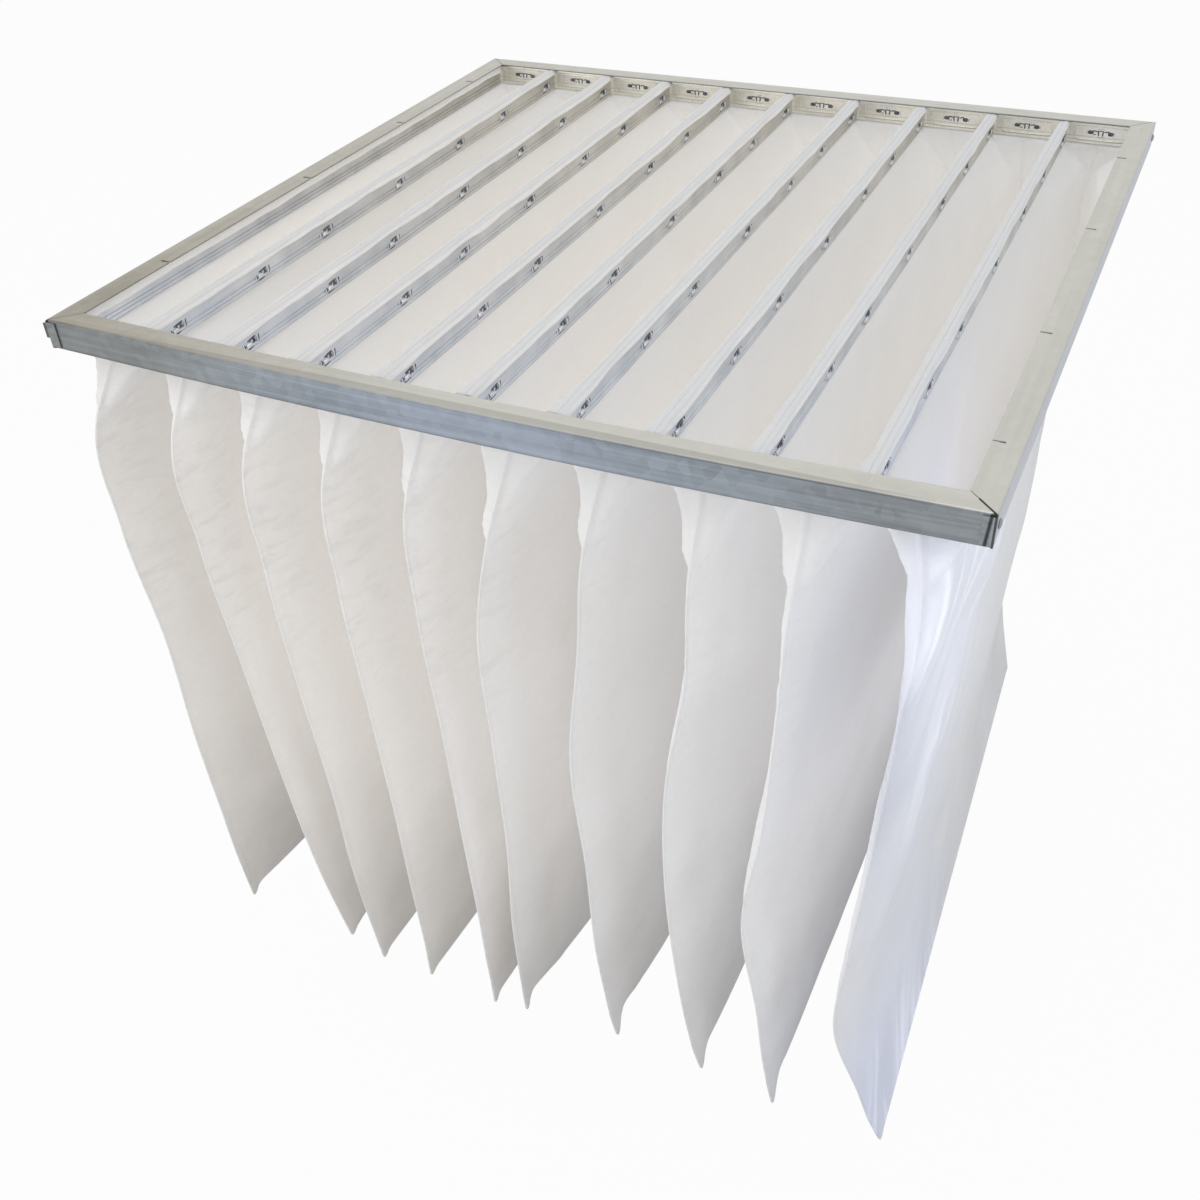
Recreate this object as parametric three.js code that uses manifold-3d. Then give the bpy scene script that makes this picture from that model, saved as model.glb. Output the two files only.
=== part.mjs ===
// Pocket air filter: ten cloth pockets on folded steel retainers, held in a folded steel header.
// Millimetres, +Z up. The origin is the centre of the header's underside and the pockets hang below it.
// The air goes in from above. X runs across the row of pockets and Y runs along each pocket.

import * as THREE from "three";
import { mergeVertices } from "three/addons/utils/BufferGeometryUtils.js";
import Module from "manifold-3d";

const wasm = await Module();
wasm.setup();

// Header
const HEADER_WIDTH = 592;
const HEADER_DEPTH = 592;
const HEADER_HEIGHT = 20;
const HEADER_SHEET = 0.8;
const BEND_RADIUS = 1.2;
const TOP_FLANGE = 17;
const BOTTOM_FLANGE = 12.5;
const MITRE_GAP = 0.5;
const FRONT_BOW = 6.4;
const FRONT_BOW_PEAK = 30;
const CORNER_LIP = 7;
const CORNER_TAB = 18;
const CORNER_EDGE = 1.6;
const STRAY_EAR = 2.4;
const STRAY_EAR_HEIGHT = 10;
const NOTCH_LENGTH = 7;
const NOTCH_WIDTH = 1.8;
const LEFT_NOTCHES = [-196, -30, 105, 223];
const RIGHT_NOTCHES = [-229, -99, 63, 205];

// Corner rivets
const RIVET_SHANK = 3.2;
const RIVET_HEAD = 5.6;
const RIVET_HEAD_HEIGHT = 1.3;
const RIVET_CROWN = 3.4;
const RIVET_CROWN_DROP = 0.25;
const RIVET_EDGE = 0.35;
const RIVET_TAIL = 4.8;
const RIVET_TAIL_HEIGHT = 1;
const RIVET_FROM_CORNER = 9;

// Pockets and their retainers
const POCKET_COUNT = 10;
const CHANNEL_SPACE = 9.65;
const CLOTH = 1;
const RETAINER_SHEET = 0.7;
const RETAINER_DEPTH = 1.8;
const HEM_DROP = 5;
const POCKET_LENGTH = 550;
const SEAM_WIDTH = 7;
const SEAM_HALF_THICKNESS = 1.2;
const SEAM_HALF_SLIT = 0.2;

// Clinches that join neighbouring retainers, and the spots in their end walls
const CLINCH_LENGTH = 10;
const CLINCH_HEIGHT = 2.6;
const CLINCH_LEVEL = 8.6;
const CLINCHES = [-256, -167, -90, 10, 104, 180, 262];
const SPOT_SIZE = 3.6;
const SPOT_SPACING = 13;
const SPOT_LEVEL = 10.5;

// Clearances
const FIT = 0.3;
const RIVET_CLEARANCE = 0.3;
const RIVET_STANDOFF = 0.2;

// Fineness of the curves, and how far the cutters run past what they cut
const BEND_FACETS = 2;
const BOW_FACETS = 14;
const RIVET_FACETS = 10;
const MERGE_DISTANCE = 1e-4;
const CUTTER_OVERRUN = 10;
const HOLE_CUTTER = 6;

// Each station is a level of the hanging cloth: how far down the pocket it is, how far the side
// seams stand out past the mouth, and how full the pocket is there beside its mouth. The first one is
// the tip of the gusset, which each pocket has at its own depth.
const GUSSET_TIP = { reach: 23, fill: 0.955 };
const STATIONS = [
  { down: 0.22, reach: 29, fill: 0.91 },
  { down: 0.4, reach: 30, fill: 0.86 },
  { down: 0.58, reach: 28, fill: 0.755 },
  { down: 0.745, reach: 24, fill: 0.56 },
  { down: 0.87, reach: 15, fill: 0.35 },
  { down: 0.95, reach: 7, fill: 0.175 },
  { down: 1, reach: 1, fill: 0 },
];

// How each pocket hangs: sideways shift of its front and back seams at the gusset tip and the
// stations, how much longer or shorter than the rest it is, how deep its gusset is, and how full its
// upper part is.
const HANGS = [
  {
    front: [-6, -9, 1, -2, -3, -11, -17, -22],
    back: [-3, -4, -4, -2, 0, 2, 3, 4],
    extra: -12, gusset: 36, full: 1,
  },
  {
    front: [1, 1, 11, 18, 24, 25, 25, 24],
    back: [-2, -2, 0, 4, 7, 8, 9, 9],
    extra: -8, gusset: 28, full: 1,
  },
  {
    front: [-4, -5, 1, 7, 6, 3, 0, -3],
    back: [-1, -2, -3, -1, 2, 5, 6, 6],
    extra: 7, gusset: 36, full: 1,
  },
  {
    front: [-4, -5, 1, 4, 3, -2, -8, -13],
    back: [-2, -3, -2, 0, 2, 2, 1, 0],
    extra: 6, gusset: 39, full: 1,
  },
  {
    front: [-5, -5, 1, 3, 4, -1, -5, -9],
    back: [0, -1, -3, -3, -1, 1, 2, 3],
    extra: 10, gusset: 45, full: 1,
  },
  {
    front: [-10, -19, -18, -18, -24, -29, -33, -36],
    back: [-2, -4, -5, -6, -8, -8, -8, -8],
    extra: 3, gusset: 62, full: 1,
  },
  {
    front: [-5, -9, -19, -14, -13, -12, -12, -11],
    back: [-2, -3, -5, -6, -4, -2, -1, 0],
    extra: -10, gusset: 50, full: 1,
  },
  {
    front: [1, 1, -12, -13, -7, -3, 0, 3],
    back: [-1, -2, -4, -5, -3, 0, 2, 3],
    extra: -8, gusset: 46, full: 1,
  },
  {
    front: [1, -1, -6, -17, -5, -1, 2, 4],
    back: [-1, -2, -3, -5, -4, -2, 0, 1],
    extra: 2, gusset: 45, full: 1,
  },
  {
    front: [9, 8, 3, -4, -7, 12, 22, 30],
    back: [-4, -6, -9, -13, -17, -10, 0, 8],
    extra: -4, gusset: 24, full: 0.5,
  },
];

// Places along a pocket from its front seam to its back seam
const ALONG = [0, 0.1, 0.25, 0.5, 0.75, 0.9, 1];
const FULLNESS = 0.62;
const GUSSET_CURVE = 1.4;

// Fits that follow from the sizes above
const halfWidth = HEADER_WIDTH / 2;
const halfDepth = HEADER_DEPTH / 2;
const skirt = HEADER_SHEET + FIT;
const cellPitch = (HEADER_WIDTH - 2 * CHANNEL_SPACE + FIT) / POCKET_COUNT;
const mouthHalfWidth = (cellPitch - FIT) / 2;
const mouthHalfDepth = halfDepth - CHANNEL_SPACE;
const mouthTop = HEADER_HEIGHT - HEADER_SHEET - FIT;
const mouthBottom = HEADER_SHEET + FIT;
const turnIn = BOTTOM_FLANGE + FIT - CHANNEL_SPACE;
const retainerHalfWidth = mouthHalfWidth - CLOTH - FIT;
const retainerHalfDepth = mouthHalfDepth - CLOTH - FIT;
const retainerTop = mouthTop - CLOTH - FIT;
const retainerBottom = mouthBottom + CLOTH + FIT;
const rivetLevel = HEADER_HEIGHT / 2;

const galvanised = new THREE.MeshStandardMaterial({ color: 0xb3b4ae, roughness: 0.45, metalness: 0.85 });
const brightSteel = new THREE.MeshStandardMaterial({ color: 0xb9bfc6, roughness: 0.38, metalness: 0.9 });
const rivetMetal = new THREE.MeshStandardMaterial({ color: 0x8c8f93, roughness: 0.4, metalness: 0.9 });
const filterCloth = new THREE.MeshStandardMaterial({ color: 0xe4e2de, roughness: 0.95, metalness: 0 });

function solidFrom(geometry) {
  const bare = geometry.clone();
  bare.deleteAttribute("normal");
  bare.deleteAttribute("uv");
  const merged = mergeVertices(bare, MERGE_DISTANCE);
  const vertProperties = new Float32Array(merged.attributes.position.array);
  const corners = merged.index.array;
  const faces = [];
  for (let i = 0; i < corners.length; i += 3) {
    const [a, b, c] = corners.subarray(i, i + 3);
    if (a !== b && b !== c && c !== a) {
      faces.push(a, b, c);
    }
  }
  const triVerts = new Uint32Array(faces);
  return new wasm.Manifold(new wasm.Mesh({ numProp: 3, vertProperties, triVerts }));
}

function geometryFrom(solid) {
  const mesh = solid.getMesh();
  const geometry = new THREE.BufferGeometry();
  geometry.setAttribute("position", new THREE.BufferAttribute(mesh.vertProperties, 3));
  geometry.setIndex(new THREE.BufferAttribute(mesh.triVerts, 1));
  geometry.computeVertexNormals();
  return geometry;
}

function block(x0, x1, y0, y1, z0, z1) {
  const geometry = new THREE.BoxGeometry(x1 - x0, y1 - y0, z1 - z0);
  geometry.translate((x0 + x1) / 2, (y0 + y1) / 2, (z0 + z1) / 2);
  return solidFrom(geometry);
}

// The folded channel in section: inward is X and up is Y. A channel whose web is set back from the
// header's outline has narrower flanges, so that the inner edges of all four rails line up.
function channelShape(setBack) {
  const t = HEADER_SHEET;
  const r = BEND_RADIUS;
  const top = TOP_FLANGE - setBack;
  const bottom = BOTTOM_FLANGE - setBack;
  const shape = new THREE.Shape();
  shape.moveTo(r, 0);
  shape.lineTo(bottom, 0);
  shape.lineTo(bottom, t);
  shape.lineTo(t, t);
  shape.lineTo(t, HEADER_HEIGHT - t);
  shape.lineTo(top, HEADER_HEIGHT - t);
  shape.lineTo(top, HEADER_HEIGHT);
  shape.lineTo(r, HEADER_HEIGHT);
  shape.absarc(r, HEADER_HEIGHT - r, r, Math.PI / 2, Math.PI, false);
  shape.lineTo(0, r);
  shape.absarc(r, r, r, Math.PI, 1.5 * Math.PI, false);
  return shape;
}

// A straight channel along X with its web facing -Y.
function channel(halfLength, outline, setBack, steps) {
  const depth = 2 * halfLength;
  const geometry = new THREE.ExtrudeGeometry(channelShape(setBack), {
    depth, steps, bevelEnabled: false, curveSegments: BEND_FACETS,
  });
  const spot = geometry.attributes.position;
  for (let i = 0; i < spot.count; i += 1) {
    spot.setXYZ(i, spot.getZ(i) - halfLength, spot.getX(i) + setBack - outline, spot.getY(i));
  }
  return geometry;
}

// Bows the channel outward, most at the peak and not at all at the corner lips.
function bow(geometry, amount, peak) {
  const span = halfWidth - CORNER_LIP - CORNER_EDGE;
  const spot = geometry.attributes.position;
  for (let i = 0; i < spot.count; i += 1) {
    const x = spot.getX(i);
    const share = (x - peak) / (x < peak ? span + peak : span - peak);
    const out = amount * Math.max(0, 1 - share * share);
    spot.setY(i, spot.getY(i) - out);
  }
  return geometry;
}

// What a mitre takes off the flanges at the two ends of a rail along X.
function mitreWaste(endPlace, sidePlace) {
  const past = CUTTER_OVERRUN;
  const reach = TOP_FLANGE + CUTTER_OVERRUN;
  const gap = MITRE_GAP / Math.SQRT2;
  const outline = new THREE.Shape([
    new THREE.Vector2(endPlace - gap + past, -sidePlace - past),
    new THREE.Vector2(endPlace + reach, -sidePlace - past),
    new THREE.Vector2(endPlace + reach, -sidePlace + reach),
    new THREE.Vector2(endPlace - gap - reach, -sidePlace + reach),
  ]);
  const bands = [
    [-FIT, HEADER_SHEET],
    [HEADER_HEIGHT - HEADER_SHEET, HEADER_HEIGHT + FIT],
  ];
  let waste = null;
  for (const [low, high] of bands) {
    const geometry = new THREE.ExtrudeGeometry(outline, { depth: high - low, bevelEnabled: false });
    geometry.translate(0, 0, low);
    const right = solidFrom(geometry);
    const left = right.mirror([1, 0, 0]);
    waste = waste ? waste.add(right).add(left) : right.add(left);
  }
  return waste;
}

function rivetHole(x, y) {
  const radius = RIVET_SHANK / 2 + RIVET_CLEARANCE;
  const geometry = new THREE.CylinderGeometry(radius, radius, HOLE_CUTTER, RIVET_FACETS);
  geometry.rotateZ(Math.PI / 2);
  geometry.translate(x, y, rivetLevel);
  return solidFrom(geometry);
}

// Front or back rail: its web ends in two tabs that turn back inside the side rails.
function crossRail(bowAmount, bowPeak, steps) {
  const webPlace = halfDepth - skirt;
  const endPlace = halfWidth - skirt;
  let rail = solidFrom(bow(channel(endPlace, halfDepth, skirt, steps), bowAmount, bowPeak));
  rail = rail.subtract(mitreWaste(halfWidth, halfDepth));
  const low = HEADER_SHEET + CORNER_EDGE;
  const high = HEADER_HEIGHT - HEADER_SHEET - CORNER_EDGE;
  const inner = endPlace - HEADER_SHEET;
  for (const side of [-1, 1]) {
    const edges = [side * endPlace, side * inner].sort((a, b) => a - b);
    const tab = block(edges[0], edges[1], -webPlace, -webPlace + CORNER_TAB, low, high);
    rail = rail.add(tab);
    rail = rail.subtract(rivetHole(side * endPlace, -halfDepth + RIVET_FROM_CORNER));
  }
  return rail;
}

// Side rail along X as built: its web runs the full length and ends in lips over the cross rails.
function sideRail(notches, notchSign) {
  let rail = solidFrom(channel(halfDepth, halfWidth, 0, 1));
  rail = rail.subtract(mitreWaste(halfDepth, halfWidth));
  const low = CORNER_EDGE;
  const high = HEADER_HEIGHT - CORNER_EDGE;
  for (const side of [-1, 1]) {
    const edges = [side * halfDepth, side * (halfDepth - HEADER_SHEET)].sort((a, b) => a - b);
    rail = rail.add(block(edges[0], edges[1], -halfWidth, -halfWidth + CORNER_LIP, low, high));
    const hole = rivetHole(0, 0).rotate([0, 0, 90]);
    rail = rail.subtract(hole.translate([side * (halfDepth - RIVET_FROM_CORNER), -halfWidth, 0]));
  }
  for (const place of notches) {
    const centre = notchSign * place;
    rail = rail.subtract(block(
      centre - NOTCH_WIDTH / 2, centre + NOTCH_WIDTH / 2,
      -halfWidth + TOP_FLANGE - NOTCH_LENGTH, -halfWidth + TOP_FLANGE + FIT,
      HEADER_HEIGHT - HEADER_SHEET - FIT, HEADER_HEIGHT + FIT,
    ));
  }
  return rail;
}

// A scrap of the left rail's front lip that sticks out past the corner.
function strayEar() {
  const high = HEADER_HEIGHT - CORNER_EDGE - HEADER_SHEET;
  const end = halfDepth - HEADER_SHEET;
  const low = high - STRAY_EAR_HEIGHT;
  return block(end, halfDepth, -halfWidth - STRAY_EAR, -halfWidth + BEND_RADIUS, low, high);
}

// Retainer: a strip folded to a shallow channel that opens outward, bent round into a ring.
function retainer(index) {
  const w = retainerHalfWidth;
  const d = retainerHalfDepth;
  const innerW = w - RETAINER_DEPTH;
  const innerD = d - RETAINER_DEPTH;
  const backW = innerW + RETAINER_SHEET;
  const backD = innerD + RETAINER_SHEET;
  const low = retainerBottom + RETAINER_SHEET;
  const high = retainerTop - RETAINER_SHEET;
  const groove = block(-w - FIT, w + FIT, -d - FIT, d + FIT, low, high)
    .subtract(block(-backW, backW, -backD, backD, low - FIT, high + FIT));
  let ring = block(-w, w, -d, d, retainerBottom, retainerTop)
    .subtract(block(-innerW, innerW, -innerD, innerD, retainerBottom - FIT, retainerTop + FIT))
    .subtract(groove);
  for (const side of [-1, 1]) {
    const atHeader = side < 0 ? index === 0 : index === POCKET_COUNT - 1;
    if (!atHeader) {
      for (const y of CLINCHES) {
        const edges = [side * w, side * (innerW - FIT)].sort((a, b) => a - b);
        ring = ring.subtract(block(
          edges[0], edges[1], y - CLINCH_LENGTH / 2, y + CLINCH_LENGTH / 2,
          CLINCH_LEVEL - CLINCH_HEIGHT / 2, CLINCH_LEVEL + CLINCH_HEIGHT / 2,
        ));
      }
    }
    for (const shift of [-SPOT_SPACING / 2, SPOT_SPACING / 2]) {
      const edges = [side * d, side * (innerD - FIT)].sort((a, b) => a - b);
      ring = ring.subtract(block(
        shift - SPOT_SIZE / 2, shift + SPOT_SIZE / 2, edges[0], edges[1],
        SPOT_LEVEL - SPOT_SIZE / 2, SPOT_LEVEL + SPOT_SIZE / 2,
      ));
    }
  }
  return ring;
}

function mix(a, b, share) {
  return a + (b - a) * share;
}

// The levels of one pocket, from its mouth to its end seam.
function levelsOf(hang, length) {
  const tip = { down: hang.gusset / length, ...GUSSET_TIP };
  return [{ down: 0, reach: 0, fill: 1 }, tip, ...STATIONS].map((station, i) => ({
    ...station,
    fill: i < 2 ? station.fill : station.fill * mix(hang.full, 1, station.down),
    front: i === 0 ? 0 : hang.front[i - 1],
    back: i === 0 ? 0 : hang.back[i - 1],
  }));
}

// The hang of one pocket at a share of its length, between its levels.
function hangAt(levels, down) {
  let i = 1;
  while (i < levels.length - 1 && down > levels[i].down) {
    i += 1;
  }
  const share = (down - levels[i - 1].down) / (levels[i].down - levels[i - 1].down);
  const open = Math.max(0, 1 - down / levels[1].down) ** GUSSET_CURVE;
  return {
    reach: mix(levels[i - 1].reach, levels[i].reach, share),
    half: mix(SEAM_HALF_THICKNESS, mouthHalfWidth, mix(levels[i - 1].fill, levels[i].fill, share)),
    front: mix(levels[i - 1].front, levels[i].front, share),
    back: mix(levels[i - 1].back, levels[i].back, share),
    edge: mix(SEAM_HALF_THICKNESS, mouthHalfWidth, open),
  };
}

// One ring of points round a pocket. It goes back along the left side and forward along the right.
// A level with a run of its own keeps the places between its two ends where that run has them.
function pocketRing(level, z, wall, endInset) {
  const ring = [];
  const front = -level.depth + endInset;
  const back = level.depth - endInset;
  for (const side of [-1, 1]) {
    const places = side < 0 ? ALONG : [...ALONG].reverse();
    for (const s of places) {
      const swell = Math.sin(Math.PI * s) ** FULLNESS;
      const sway = level.front * (1 - s) ** 2 + level.back * s ** 2;
      const full = side < 0 ? level.left : level.right;
      const middle = mix(Math.min(level.edge, full), full, swell);
      const half = Math.max(middle - wall, SEAM_HALF_SLIT);
      const between = s > 0 && s < 1 && level.run !== undefined;
      const y = between ? mix(-level.run, level.run, s) : mix(front, back, s);
      ring.push([sway + side * half, y, z]);
    }
  }
  return ring;
}

// Joins rings of points into one closed shell: down the outside and back up the inside. Both sides
// are split along the same diagonals, so that the wall stays as thick where the cloth twists.
function shellFrom(outer, inner) {
  const rings = [...outer, ...inner.reverse()];
  const count = rings[0].length;
  const sideCount = count / 2;
  const points = rings.flat(2);
  const faces = [];
  const lastOuter = outer.length - 1;
  for (let r = 0; r < rings.length; r += 1) {
    if (r === lastOuter) {
      continue;
    }
    const next = (r + 1) % rings.length;
    for (let i = 0; i < count; i += 1) {
      const j = (i + 1) % count;
      const a = r * count + i;
      const b = r * count + j;
      const c = next * count + j;
      const d = next * count + i;
      if (r < lastOuter || next === 0) {
        faces.push(a, b, c, a, c, d);
      } else {
        faces.push(a, b, d, b, c, d);
      }
    }
  }
  for (const [r, flip] of [[lastOuter, false], [lastOuter + 1, true]]) {
    for (let i = 0; i < sideCount - 1; i += 1) {
      const a = r * count + i;
      const b = a + 1;
      const c = r * count + (count - 2 - i);
      const d = c + 1;
      if (flip) {
        faces.push(a, c, b, a, d, c);
      } else {
        faces.push(a, b, c, a, c, d);
      }
    }
  }
  const geometry = new THREE.BufferGeometry();
  geometry.setAttribute("position", new THREE.Float32BufferAttribute(points, 3));
  geometry.setIndex(faces);
  return geometry;
}

// Pocket: a thin cloth bag. Its mouth stands outside the retainer, is drawn in under it where a
// header flange carries it, and is turned over the retainer's long sides as a hem.
function pocket(index) {
  const hang = HANGS[index % HANGS.length];
  const length = POCKET_LENGTH + hang.extra;
  const neckDepth = mouthHalfDepth - turnIn;
  const leftNeck = mouthHalfWidth - (index === 0 ? turnIn : 0);
  const rightNeck = mouthHalfWidth - (index === POCKET_COUNT - 1 ? turnIn : 0);
  const still = { front: 0, back: 0, edge: mouthHalfWidth, run: neckDepth };
  const mouth = { ...still, depth: mouthHalfDepth, left: mouthHalfWidth, right: mouthHalfWidth };
  const neck = { ...still, depth: neckDepth, left: leftNeck, right: rightNeck };
  const levels = levelsOf(hang, length);
  const levelAt = (down) => {
    const level = hangAt(levels, down);
    return { ...level, depth: neckDepth + level.reach, left: level.half, right: level.half };
  };
  const outer = [
    pocketRing(mouth, mouthTop, 0, 0),
    pocketRing(mouth, mouthBottom, 0, 0),
    pocketRing(neck, mouthBottom, 0, 0),
    pocketRing(neck, -FIT, 0, 0),
  ];
  const inner = [
    pocketRing(mouth, mouthTop, CLOTH, CLOTH),
    pocketRing(mouth, mouthBottom + CLOTH, CLOTH, CLOTH),
    pocketRing(neck, mouthBottom + CLOTH, CLOTH, CLOTH),
    pocketRing(neck, -FIT, CLOTH, CLOTH),
  ];
  const downs = [levels[1].down / 2, ...levels.slice(1).map((level) => level.down)];
  downs.forEach((down, i) => {
    const bottom = i === downs.length - 1;
    const innerDown = bottom ? 1 - SEAM_WIDTH / length : down;
    const inset = i === 0 ? (CLOTH + SEAM_WIDTH) / 2 : SEAM_WIDTH;
    outer.push(pocketRing(levelAt(down), -FIT - down * (length - FIT), 0, 0));
    inner.push(pocketRing(levelAt(innerDown), -FIT - innerDown * (length - FIT), CLOTH, inset));
  });
  let bag = solidFrom(shellFrom(outer, inner));
  const hemEnd = retainerHalfDepth - RETAINER_DEPTH - FIT;
  const hemInner = retainerHalfWidth - RETAINER_DEPTH - FIT - CLOTH;
  for (const side of [-1, 1]) {
    const across = [side * hemInner, side * (mouthHalfWidth - CLOTH / 2)].sort((a, b) => a - b);
    const down = [side * hemInner, side * (hemInner + CLOTH)].sort((a, b) => a - b);
    bag = bag.add(block(across[0], across[1], -hemEnd, hemEnd, mouthTop - CLOTH, mouthTop));
    bag = bag.add(block(down[0], down[1], -hemEnd, hemEnd, mouthTop - HEM_DROP, mouthTop));
  }
  return bag;
}

// Rivet along +X: round head outside, shank through the side web and the tab, flat tail inside.
function rivet() {
  const shank = RIVET_SHANK / 2;
  const head = RIVET_HEAD / 2;
  const tail = RIVET_TAIL / 2;
  const crownLevel = RIVET_STANDOFF + RIVET_HEAD_HEIGHT - RIVET_CROWN_DROP;
  const grip = 2 * HEADER_SHEET + FIT + RIVET_STANDOFF;
  const profile = [
    new THREE.Vector2(0, RIVET_STANDOFF + RIVET_HEAD_HEIGHT),
    new THREE.Vector2(RIVET_CROWN / 2, crownLevel),
    new THREE.Vector2(head, RIVET_STANDOFF + RIVET_EDGE),
    new THREE.Vector2(head, RIVET_STANDOFF),
    new THREE.Vector2(shank, RIVET_STANDOFF),
    new THREE.Vector2(shank, -grip),
    new THREE.Vector2(tail, -grip),
    new THREE.Vector2(tail, -grip - RIVET_TAIL_HEIGHT),
    new THREE.Vector2(0, -grip - RIVET_TAIL_HEIGHT),
  ];
  const geometry = new THREE.LatheGeometry(profile.reverse(), RIVET_FACETS);
  geometry.rotateZ(-Math.PI / 2);
  return geometry;
}

function part(name, geometry, material) {
  const mesh = new THREE.Mesh(geometry, material);
  mesh.name = name;
  return mesh;
}

function header() {
  const group = new THREE.Group();
  const bowed = crossRail(FRONT_BOW, FRONT_BOW_PEAK, BOW_FACETS);
  const front = part("front_rail", geometryFrom(bowed), galvanised);
  const back = part("back_rail", geometryFrom(crossRail(0, 0, 1)), galvanised);
  back.rotation.z = Math.PI;
  const right = part("right_rail", geometryFrom(sideRail(RIGHT_NOTCHES, 1)), galvanised);
  right.rotation.z = Math.PI / 2;
  const left = part("left_rail", geometryFrom(sideRail(LEFT_NOTCHES, -1).add(strayEar())), galvanised);
  left.rotation.z = -Math.PI / 2;
  group.add(front, back, left, right);
  return group;
}

function rivets() {
  const group = new THREE.Group();
  const corners = [
    ["front_left", -1, -1], ["front_right", 1, -1], ["back_left", -1, 1], ["back_right", 1, 1],
  ];
  for (const [corner, sideX, sideY] of corners) {
    const mesh = part(`corner_rivet_${corner}`, rivet(), rivetMetal);
    mesh.position.set(sideX * halfWidth, sideY * (halfDepth - RIVET_FROM_CORNER), rivetLevel);
    mesh.rotation.z = sideX < 0 ? Math.PI : 0;
    group.add(mesh);
  }
  return group;
}

function cell(index) {
  const group = new THREE.Group();
  const number = String(index + 1).padStart(2, "0");
  group.position.x = (index - (POCKET_COUNT - 1) / 2) * cellPitch;
  group.add(part(`retainer_${number}`, geometryFrom(retainer(index)), brightSteel));
  group.add(part(`pocket_${number}`, geometryFrom(pocket(index)), filterCloth));
  return group;
}

const filter = new THREE.Group();
filter.add(header(), rivets());
for (let index = 0; index < POCKET_COUNT; index += 1) {
  filter.add(cell(index));
}

export default filter;
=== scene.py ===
"""Pocket air filter: ten cloth pockets on clinched steel retainers in a folded steel header.

The rails and rivets come from the part as they are, with new finishes. The retainers and
pockets are made again here in finer shape, at the places where the part has them. The hems
and the pressed marks are pieces of the scene.
"""

import math

import bpy
import numpy as np
from mathutils import Matrix, Vector


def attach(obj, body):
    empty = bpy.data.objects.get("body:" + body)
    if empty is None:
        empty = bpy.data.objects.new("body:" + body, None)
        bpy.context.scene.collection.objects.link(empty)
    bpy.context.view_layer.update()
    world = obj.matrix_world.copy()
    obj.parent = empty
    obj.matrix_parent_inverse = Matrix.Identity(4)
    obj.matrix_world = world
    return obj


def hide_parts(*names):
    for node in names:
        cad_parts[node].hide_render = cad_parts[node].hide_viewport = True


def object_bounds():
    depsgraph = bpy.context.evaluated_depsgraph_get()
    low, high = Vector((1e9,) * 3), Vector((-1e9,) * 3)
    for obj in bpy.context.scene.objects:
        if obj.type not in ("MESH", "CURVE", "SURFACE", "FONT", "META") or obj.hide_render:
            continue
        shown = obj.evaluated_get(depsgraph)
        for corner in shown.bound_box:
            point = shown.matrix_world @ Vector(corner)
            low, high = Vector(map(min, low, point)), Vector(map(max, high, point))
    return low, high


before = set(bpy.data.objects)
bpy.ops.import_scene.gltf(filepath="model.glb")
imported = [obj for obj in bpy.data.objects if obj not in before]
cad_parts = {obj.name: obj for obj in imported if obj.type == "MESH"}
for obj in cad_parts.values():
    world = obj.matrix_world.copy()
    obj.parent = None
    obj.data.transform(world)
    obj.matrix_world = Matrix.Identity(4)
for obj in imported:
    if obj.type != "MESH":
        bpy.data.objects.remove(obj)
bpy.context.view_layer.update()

MM = 0.001

# Sizes in millimetres. Those of the header, mouths and pockets are the part's own
POCKETS = 10
PITCH = 57.3
MOUTH_HALF_WIDTH = 28.5
MOUTH_HALF_DEPTH = 286.35
MOUTH_TOP = 18.9
MOUTH_BOTTOM = 1.1
NECK_HALF_DEPTH = 283.2
NECK_IN = 3.15
NECK_LEVEL = -0.3
NECK_HEIGHT = 14.0
POCKET_LENGTH = 550.0
RETAINER_HALF_WIDTH = 27.2
RETAINER_HALF_DEPTH = 285.05
RETAINER_LOW = 1.5
RETAINER_HIGH = 17.6
RETAINER_REACH = 1.8
RETAINER_SHEET = 0.7
RETAINER_CORNER = 2.6
HEM_DROP = 3.9
SEAM_HALF_THICKNESS = 1.0
SEAM_WIDTH = 7.0
CLOTH = 0.7
CLINCH_LEVEL = 8.0
CLINCH_SIZE = 1.4
CLINCHES = (-256, -167, -90, 10, 104, 180, 262)
END_MARK_LEVEL = 10.5

# The levels of a pocket: share of its length, stand-out of its side seams, fullness
GUSSET_TIP = (23.0, 0.955)
STATIONS = (
    (0.22, 29, 0.91), (0.4, 30, 0.86), (0.58, 28, 0.755), (0.745, 24, 0.56),
    (0.87, 15, 0.35), (0.95, 7, 0.175), (1.0, 1, 0.0),
)

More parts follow.
